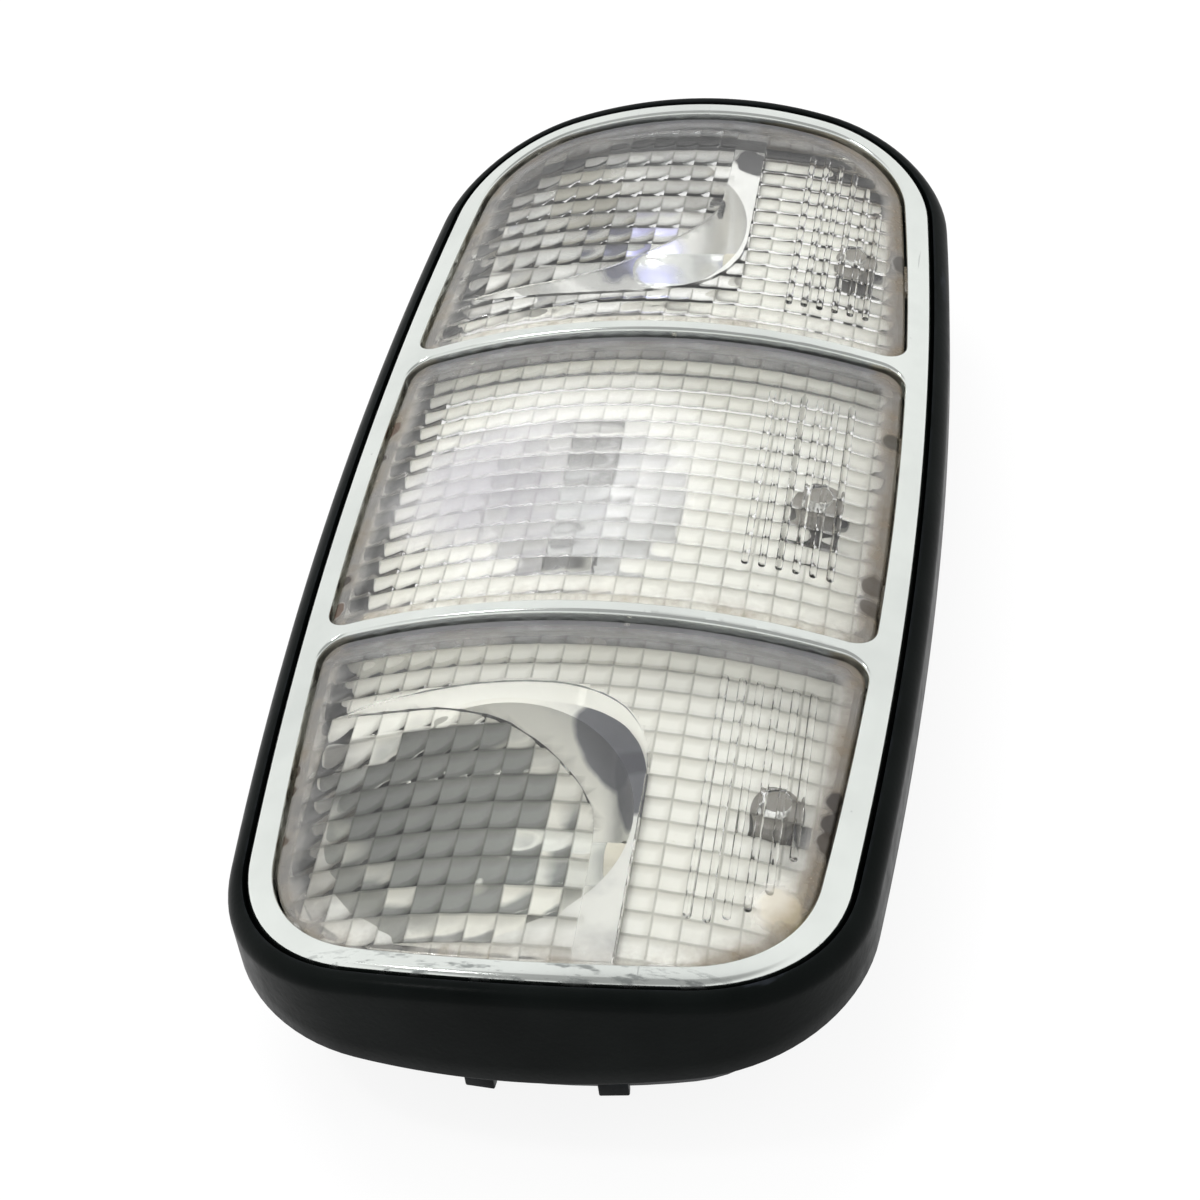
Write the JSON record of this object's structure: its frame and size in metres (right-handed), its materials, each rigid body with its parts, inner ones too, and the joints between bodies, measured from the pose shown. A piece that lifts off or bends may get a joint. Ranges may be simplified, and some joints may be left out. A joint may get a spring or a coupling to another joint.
{
  "type": "dome_light",
  "caption": "Interior car roof lamp with a chromed frame, clear fluted rocker lenses with press ribs, chromed reading bowls and a black crowned base",
  "frame": {"origin": "Middle of the underside of the rear cover, on which the lamp lies", "axes": "X across the lamp, +X to the side of the press ribs; Y along the lamp; Z out of the lens face"},
  "size_m": [0.079, 0.169, 0.0293],
  "materials": {
    "black_plastic": "satin",
    "frame_chrome": "polished",
    "clear_lens": "clear, fluted inside",
    "tray_plastic": "matte",
    "reflector_chrome": "polished",
    "dark_plastic": "satin",
    "bulb_glass": "clear",
    "holder_plastic": "matte",
    "contact_brass": "stamped",
    "board_green": "lacquered",
    "cover_plastic": "satin",
    "screw_steel": "plated",
    "spring_steel": "bare"
  },
  "bodies": {
    "lamp": {"base_housing": "black_plastic", "chrome_frame": "frame_chrome", "light_tray": "tray_plastic", "cup_far": "reflector_chrome", "cup_near": "reflector_chrome", "dish_centre": "reflector_chrome", "bulb_far": "bulb_glass", "bulb_near": "bulb_glass", "bulb_centre": "bulb_glass", "bulb_holder_far": "holder_plastic", "bulb_holder_near": "holder_plastic", "festoon_clips": "contact_brass", "circuit_board": "board_green", "switch_far": "dark_plastic", "switch_centre": "dark_plastic", "switch_near": "dark_plastic", "rear_cover": "cover_plastic", "cover_screws": "screw_steel", "connector_shell": "dark_plastic", "connector_pins": "contact_brass", "roof_clip_left": "spring_steel", "roof_clip_right": "spring_steel"},
    "rocker_far": {"lens_far": "clear_lens"},
    "rocker_centre": {"lens_centre": "clear_lens"},
    "rocker_near": {"lens_near": "clear_lens"},
    "push_far": {"plunger_far": "dark_plastic"},
    "push_centre": {"plunger_centre": "dark_plastic"},
    "push_near": {"plunger_near": "dark_plastic"}
  },
  "joints": [
    {"name": "press_far", "type": "hinge", "parent": "lamp", "child": "rocker_far", "pos_m": [-0.03169, 0.0515, 0.0187], "axis": [0, 1, 0], "range_deg": [0, 2.15], "stiffness_Nm_per_rad": 0.6},
    {"name": "press_centre", "type": "hinge", "parent": "lamp", "child": "rocker_centre", "pos_m": [-0.0344, 0, 0.0184], "axis": [0, 1, 0], "range_deg": [0, 2.05], "stiffness_Nm_per_rad": 0.6},
    {"name": "press_near", "type": "hinge", "parent": "lamp", "child": "rocker_near", "pos_m": [-0.03169, -0.0515, 0.0187], "axis": [0, 1, 0], "range_deg": [0, 2.15], "stiffness_Nm_per_rad": 0.6},
    {"name": "plunge_far", "type": "slide", "parent": "lamp", "child": "push_far", "axis": [0, 0, -1], "range_m": [0, 0.00212]},
    {"name": "plunge_centre", "type": "slide", "parent": "lamp", "child": "push_centre", "axis": [0, 0, -1], "range_m": [0, 0.00212]},
    {"name": "plunge_near", "type": "slide", "parent": "lamp", "child": "push_near", "axis": [0, 0, -1], "range_m": [0, 0.00212]}
  ],
  "couplings": [
    {"joint": "plunge_far", "follows": "press_far", "m_per_rad": 0.0559},
    {"joint": "plunge_centre", "follows": "press_centre", "m_per_rad": 0.0586},
    {"joint": "plunge_near", "follows": "press_near", "m_per_rad": 0.0559}
  ]
}
